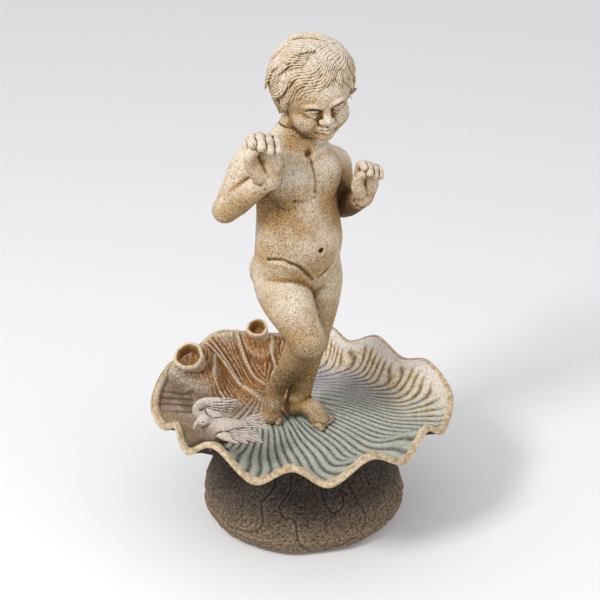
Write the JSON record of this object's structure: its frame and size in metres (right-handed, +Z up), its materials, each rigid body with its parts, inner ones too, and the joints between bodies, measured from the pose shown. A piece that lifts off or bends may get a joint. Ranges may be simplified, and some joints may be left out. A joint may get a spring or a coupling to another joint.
{
  "type": "cherub garden statue",
  "caption": "Cast-stone bird bath: a standing child in a fluted scallop-shell basin with driftwood stubs and a dove on its edge, on a rockwork base",
  "frame": {"origin": "middle of the flat underside that the statue stands on", "axes": "+Z up along the statue's height, -Y towards its front, +X to the right of a person facing it"},
  "size_m": [0.4535, 0.438, 0.7498],
  "materials": {
    "base_stone": "weathered dark brown cast stone",
    "shell_stone": "cast stone, cream at the edge, tan at the side and blue-green in the flutes",
    "child_stone": "cream cast stone with ochre and brown in the hollows",
    "dove_stone": "pale greyish pink cast stone, dark underneath"
  },
  "bodies": {
    "root": {"base": "base_stone", "shell": "shell_stone", "child": "child_stone", "dove": "dove_stone"}
  },
  "joints": []
}
